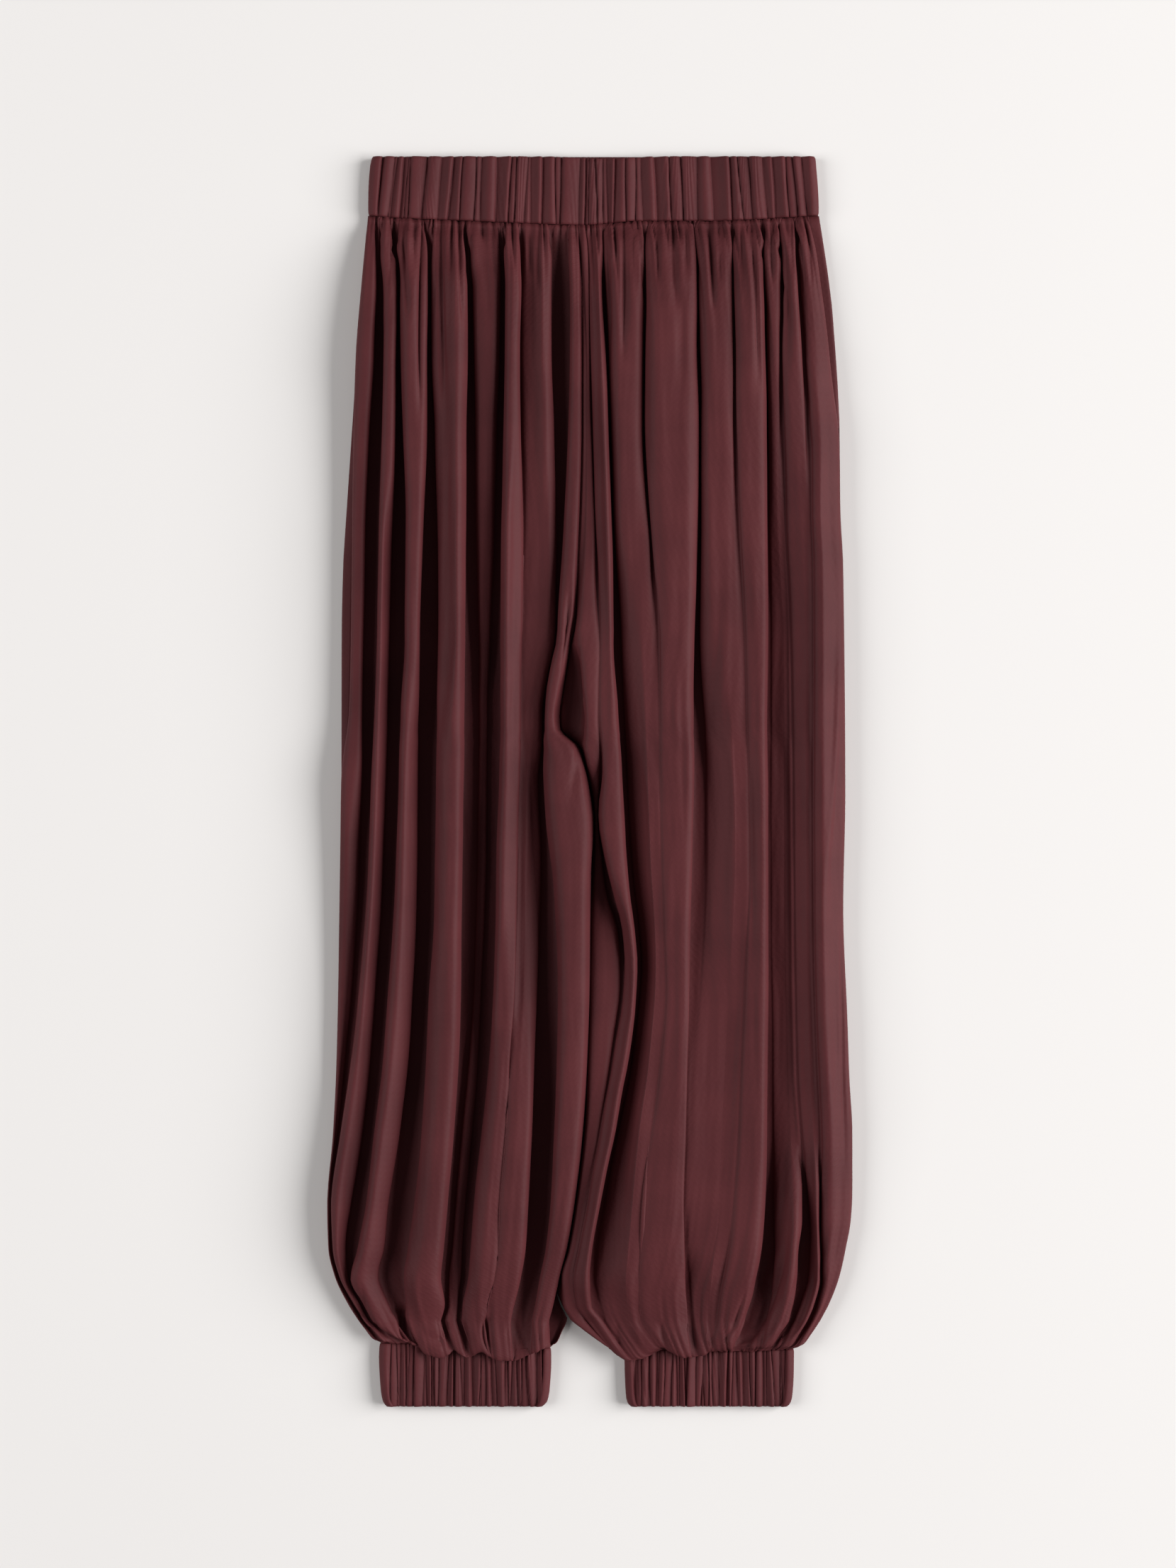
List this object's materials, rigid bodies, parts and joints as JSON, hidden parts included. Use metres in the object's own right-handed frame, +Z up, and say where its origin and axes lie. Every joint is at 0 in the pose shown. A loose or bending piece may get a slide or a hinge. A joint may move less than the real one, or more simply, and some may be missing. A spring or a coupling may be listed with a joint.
{
  "type": "gathered balloon trousers",
  "caption": "Loose gathered trousers laid flat: elastic waistband, full folded legs that blouse over elastic ankle cuffs, and an in-seam side pocket.",
  "frame": {"origin": "centre of the garment's outline, on the surface it lies on", "axes": "+Y towards the waist, +X towards the wearer's left, +Z up out of the front of the garment"},
  "size_m": [0.4449, 1.059, 0.034],
  "materials": {
    "leg_cloth": "soft maroon crepe with a faint sheen",
    "band_cloth": "the same cloth, finely gathered over elastic"
  },
  "bodies": {
    "root": {"waistband": "band_cloth", "front_right_leg": "leg_cloth", "front_left_leg": "leg_cloth", "back_right_leg": "leg_cloth", "back_left_leg": "leg_cloth", "pocket_facing_left": "leg_cloth", "cuff_right": "band_cloth", "cuff_left": "band_cloth"}
  },
  "joints": []
}
